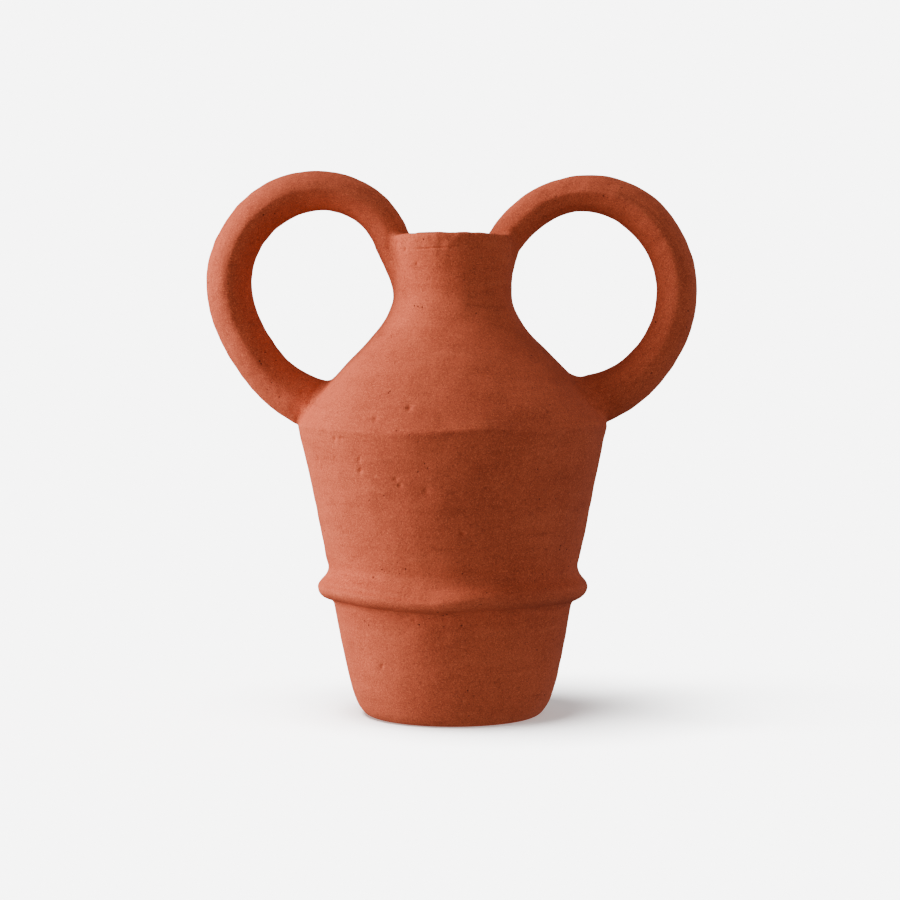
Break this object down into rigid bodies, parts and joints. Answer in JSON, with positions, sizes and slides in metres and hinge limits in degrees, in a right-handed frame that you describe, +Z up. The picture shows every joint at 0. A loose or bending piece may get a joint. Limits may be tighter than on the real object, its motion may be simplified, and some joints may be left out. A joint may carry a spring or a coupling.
{
  "type": "two-handled terracotta amphora",
  "caption": "Hand-built unglazed terracotta vase with a carinated belly, a raised waist band, a narrow open neck and two large ring handles from the rim to the shoulder.",
  "frame": {"origin": "centre of the underside of the base slab, on the axis of the body", "axes": "+Z up along the body's axis, the two handles in the XZ plane with the thinner, rounder one at +X, front of the vase towards -Y"},
  "size_m": [0.2702, 0.17, 0.2997],
  "materials": {
    "terracotta": "unglazed, matte, slightly gritty"
  },
  "bodies": {
    "root": {"base_slab": "terracotta", "lower_wall": "terracotta", "waist_band": "terracotta", "upper_wall": "terracotta", "shoulder": "terracotta", "neck": "terracotta", "rim_coil": "terracotta", "left_handle": "terracotta", "right_handle": "terracotta", "left_top_luting": "terracotta", "left_foot_luting": "terracotta", "right_top_luting": "terracotta", "right_foot_luting": "terracotta"}
  },
  "joints": []
}
